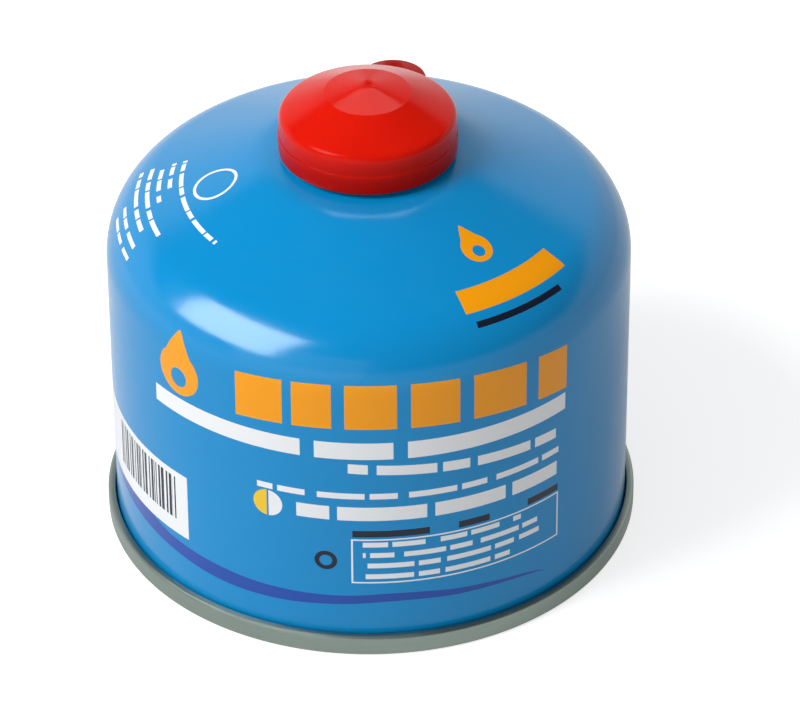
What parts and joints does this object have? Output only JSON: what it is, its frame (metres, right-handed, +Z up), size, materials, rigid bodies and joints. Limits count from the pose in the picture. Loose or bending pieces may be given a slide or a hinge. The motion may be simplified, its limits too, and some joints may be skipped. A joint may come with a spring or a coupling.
{
  "type": "fuel canister",
  "caption": "Squat round gas fuel canister with a domed shoulder, a seamed concave base, a crimped screw valve and a snap cap with a pull tab.",
  "frame": {"origin": "on the can's axis, in the plane of the seam ring that it stands on", "axes": "+Z up along the can's axis, out of the valve; the printed front faces -Y; the cap's pull tab points to the back, a little towards +X"},
  "size_m": [0.11, 0.11, 0.1009],
  "materials": {
    "blue_paint": "gloss sky blue can enamel with plain printed shapes",
    "bare_tinplate": "bare grey-green tinplate, satin",
    "black_rubber": "matt black rubber",
    "valve_steel": "pressed tinned steel",
    "white_plastic": "natural white acetal",
    "spring_steel": "bright drawn wire",
    "red_plastic": "gloss red polyethylene, slightly translucent"
  },
  "bodies": {
    "can": {"can_body": "blue_paint", "base_end": "bare_tinplate", "cup_gasket": "black_rubber", "valve_cup": "valve_steel", "stem_seal": "black_rubber", "valve_spring": "spring_steel", "valve_housing": "white_plastic"},
    "stem": {"valve_stem": "white_plastic"},
    "cap": {"protective_cap": "red_plastic"}
  },
  "joints": [
    {"name": "cap_lift", "type": "slide", "parent": "can", "child": "cap", "axis": [0, 0, 1], "range_m": [0, 0.03]},
    {"name": "stem_press", "type": "slide", "parent": "can", "child": "stem", "axis": [0, 0, -1], "range_m": [0, 0.0015], "stiffness_N_per_m": 2000, "springref_m": -0.001, "deforming": ["valve_spring"]}
  ]
}
